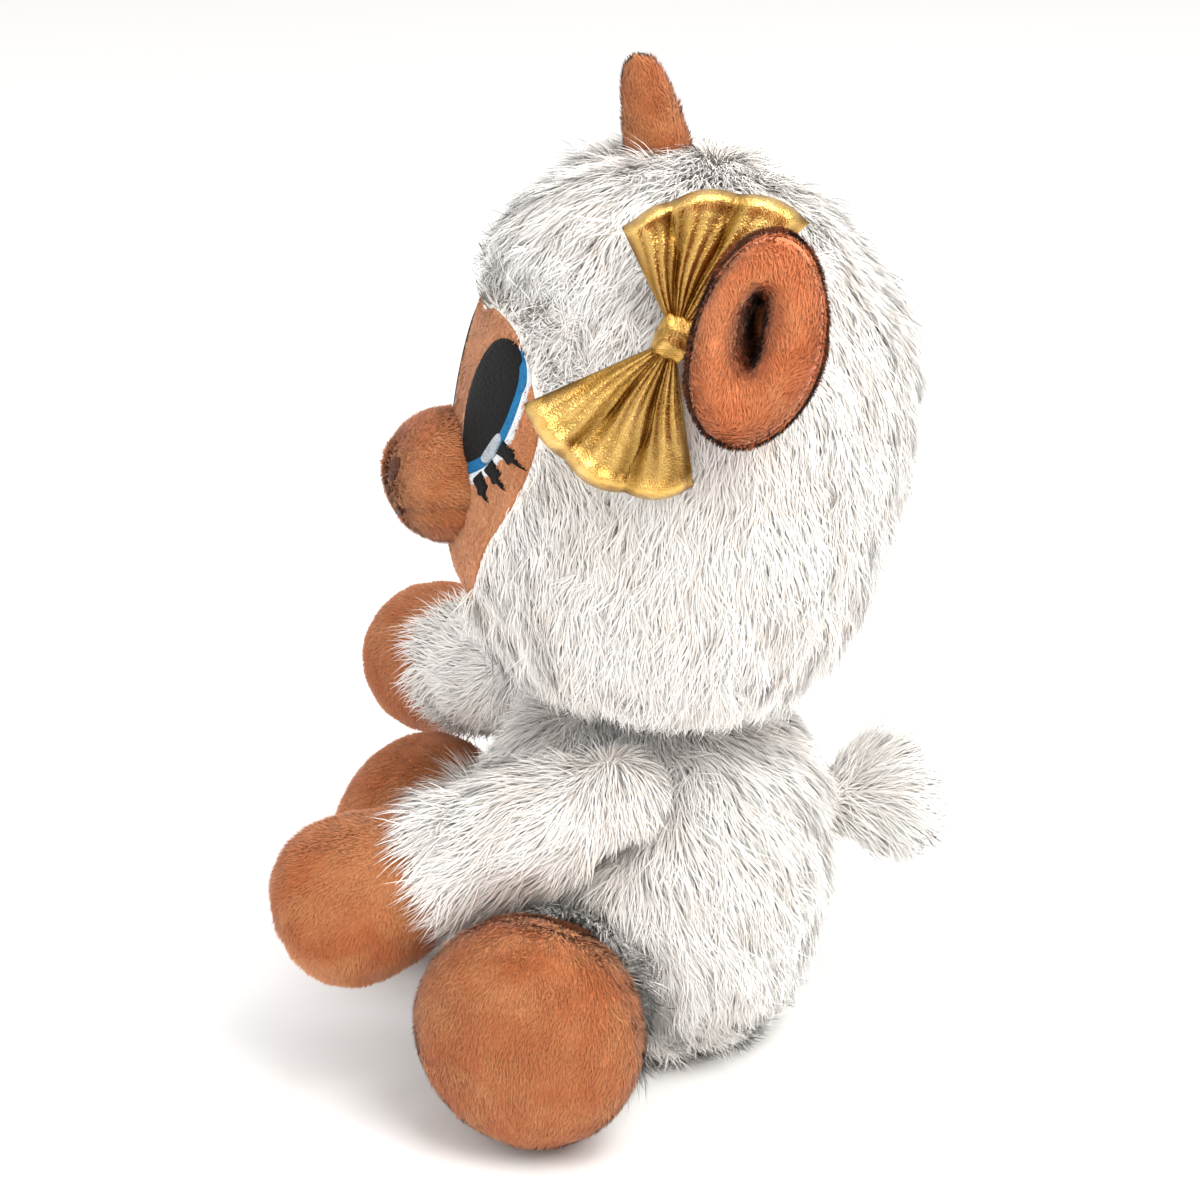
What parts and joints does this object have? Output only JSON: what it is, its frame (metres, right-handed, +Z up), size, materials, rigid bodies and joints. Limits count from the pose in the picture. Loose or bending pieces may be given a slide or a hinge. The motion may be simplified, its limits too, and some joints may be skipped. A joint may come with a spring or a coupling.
{
  "type": "plush unicorn",
  "caption": "Seated plush unicorn in long white fur with a big round head, caramel muzzle, horn, ears, hands and feet, and a gold bow sewn beside one ear.",
  "frame": {"origin": "middle of the flat seat under the torso, on the floor", "axes": "+Z up; the body faces -Y, with the head turned 8 degrees to its own right; the toy's own left side, with the bow, is +X"},
  "size_m": [0.2539, 0.2012, 0.2903],
  "materials": {
    "white_fur": "long white pile",
    "caramel_plush": "short caramel pile",
    "face_plush": "short peach-tan pile",
    "ear_plush": "short rust-caramel pile",
    "gold_cloth": "gathered metallic gold cloth",
    "fibre_fill": "polyester fibre filling",
    "pouch_cloth": "plain lining cloth",
    "pellets": "loose pellets",
    "black_thread": "satin stitch",
    "blue_thread": "satin stitch",
    "white_thread": "satin stitch with a silvery sheen",
    "brown_thread": "satin stitch"
  },
  "bodies": {
    "torso": {"torso_cover": "white_fur", "torso_filling": "fibre_fill", "pellet_pouch": "pouch_cloth", "pellet_fill": "pellets"},
    "head": {"head_cover": "white_fur", "face_panel": "face_plush", "head_filling": "fibre_fill", "muzzle_cover": "caramel_plush", "muzzle_filling": "fibre_fill", "nostril_left": "brown_thread", "nostril_right": "brown_thread", "mouth_stitch": "brown_thread", "horn_cover": "caramel_plush", "horn_filling": "fibre_fill", "bow_upper_loop": "gold_cloth", "bow_lower_loop": "gold_cloth", "bow_knot": "gold_cloth", "eye_black_left": "black_thread", "eye_blue_left": "blue_thread", "eye_white_left": "white_thread", "eye_glint_left": "white_thread", "lashes_left": "black_thread", "eye_black_right": "black_thread", "eye_blue_right": "blue_thread", "eye_white_right": "white_thread", "eye_glint_right": "white_thread", "lashes_right": "black_thread"},
    "tail": {"tail_cover": "white_fur", "tail_filling": "fibre_fill"},
    "ear_left": {"ear_left_cover": "ear_plush", "ear_left_lining": "ear_plush"},
    "arm_left": {"arm_left_sleeve": "white_fur", "hand_left": "caramel_plush", "arm_left_filling": "fibre_fill"},
    "leg_left": {"leg_left_sleeve": "white_fur", "foot_left": "caramel_plush", "leg_left_filling": "fibre_fill"},
    "ear_right": {"ear_right_cover": "ear_plush", "ear_right_lining": "ear_plush"},
    "arm_right": {"arm_right_sleeve": "white_fur", "hand_right": "caramel_plush", "arm_right_filling": "fibre_fill"},
    "leg_right": {"leg_right_sleeve": "white_fur", "foot_right": "caramel_plush", "leg_right_filling": "fibre_fill"}
  },
  "joints": [
    {"name": "head_nod", "type": "hinge", "parent": "torso", "child": "head", "pos_m": [0, 0.006, 0.09], "axis": [0.9903, -0.1392, 0], "range_deg": [-12, 8]},
    {"name": "arm_left_lift", "type": "hinge", "parent": "torso", "child": "arm_left", "pos_m": [0.043, -0.02, 0.093], "axis": [-0.9397, 0.342, 0], "range_deg": [0, 24]},
    {"name": "arm_right_lift", "type": "hinge", "parent": "torso", "child": "arm_right", "pos_m": [-0.043, -0.02, 0.093], "axis": [-0.1736, 0.9848, 0], "range_deg": [0, 24]},
    {"name": "leg_left_lift", "type": "hinge", "parent": "torso", "child": "leg_left", "pos_m": [0.03546, -0.02771, 0.035], "axis": [-0.6157, -0.788, 0], "range_deg": [-16, 3]},
    {"name": "leg_right_lift", "type": "hinge", "parent": "torso", "child": "leg_right", "pos_m": [-0.03546, -0.02771, 0.035], "axis": [-0.6157, 0.788, 0], "range_deg": [-16, 3]},
    {"name": "ear_left_bend", "type": "hinge", "parent": "head", "child": "ear_left", "pos_m": [0.06214, 0.01342, 0.232], "axis": [-0.342, -0.9397, 0], "range_deg": [-12, 12]},
    {"name": "ear_right_bend", "type": "hinge", "parent": "head", "child": "ear_right", "pos_m": [-0.05769, 0.03026, 0.232], "axis": [-0.0698, 0.9976, 0], "range_deg": [0, 12]},
    {"name": "tail_swing", "type": "hinge", "parent": "torso", "child": "tail", "pos_m": [0, 0.049, 0.062], "axis": [0, 0, 1], "range_deg": [-20, 20]}
  ]
}
